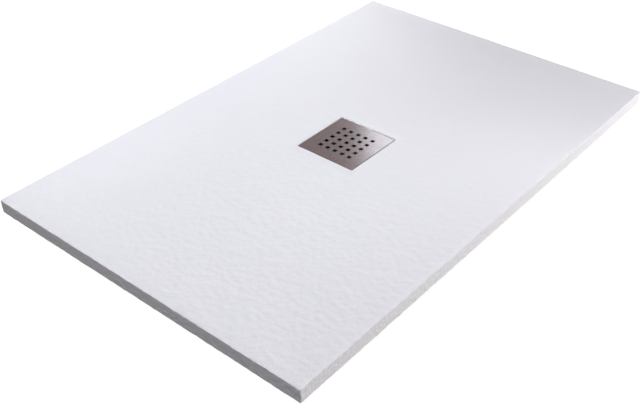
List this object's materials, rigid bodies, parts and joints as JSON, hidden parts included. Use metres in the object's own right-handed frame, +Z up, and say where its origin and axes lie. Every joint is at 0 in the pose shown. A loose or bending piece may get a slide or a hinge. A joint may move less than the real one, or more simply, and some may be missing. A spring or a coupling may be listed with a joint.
{
  "type": "shower tray",
  "caption": "Flat rectangular shower tray in white textured mineral resin, with a central square grate over a low siphon trap with a swivelling pipe outlet.",
  "frame": {"origin": "centre of the slab's flat underside, where the tray lies on its bed", "axes": "+X along the long side, +Y along the short side towards the side the outlet points to, +Z up"},
  "size_m": [1.2, 0.8, 0.1183],
  "materials": {
    "gelcoat": "matte",
    "resin_core": "matte",
    "grate_steel": "satin",
    "flange_steel": "satin",
    "screw_steel": "polished",
    "insert_brass": "satin",
    "pad_silicone": "matte",
    "seal_rubber": "matte",
    "trap_plastic": "satin",
    "siphon_plastic": "satin",
    "strainer_plastic": "satin",
    "nut_plastic": "satin"
  },
  "bodies": {
    "tray": {"gelcoat_shell": "gelcoat", "tray_core": "resin_core", "grate_pads": "pad_silicone", "waste_flange": "flange_steel", "flange_gasket": "seal_rubber", "flange_screws": "screw_steel", "lower_gasket": "seal_rubber", "trap_body": "trap_plastic", "thread_inserts": "insert_brass", "ball_seal": "seal_rubber", "ball_nut": "nut_plastic"},
    "siphon": {"dip_tube": "siphon_plastic", "dip_tube_o_ring": "seal_rubber", "siphon_pot": "siphon_plastic"},
    "strainer": {"hair_strainer": "strainer_plastic"},
    "grate": {"drain_grate": "grate_steel"},
    "outlet": {"outlet_ball_pipe": "trap_plastic", "pipe_seal": "seal_rubber", "slip_ring": "nut_plastic", "compression_nut": "nut_plastic"}
  },
  "joints": [
    {"name": "siphon_lift", "type": "slide", "parent": "tray", "child": "siphon", "axis": [0, 0, 1], "range_m": [0, 0.1]},
    {"name": "strainer_lift", "type": "slide", "parent": "siphon", "child": "strainer", "axis": [0, 0, 1], "range_m": [0, 0.04]},
    {"name": "grate_lift", "type": "slide", "parent": "strainer", "child": "grate", "axis": [0, 0, 1], "range_m": [0, 0.06]},
    {"name": "outlet_swivel", "type": "hinge", "parent": "tray", "child": "outlet", "pos_m": [0, 0.075, -0.0515], "axis": [0, 0, 1], "range_deg": [-12, 12]}
  ]
}
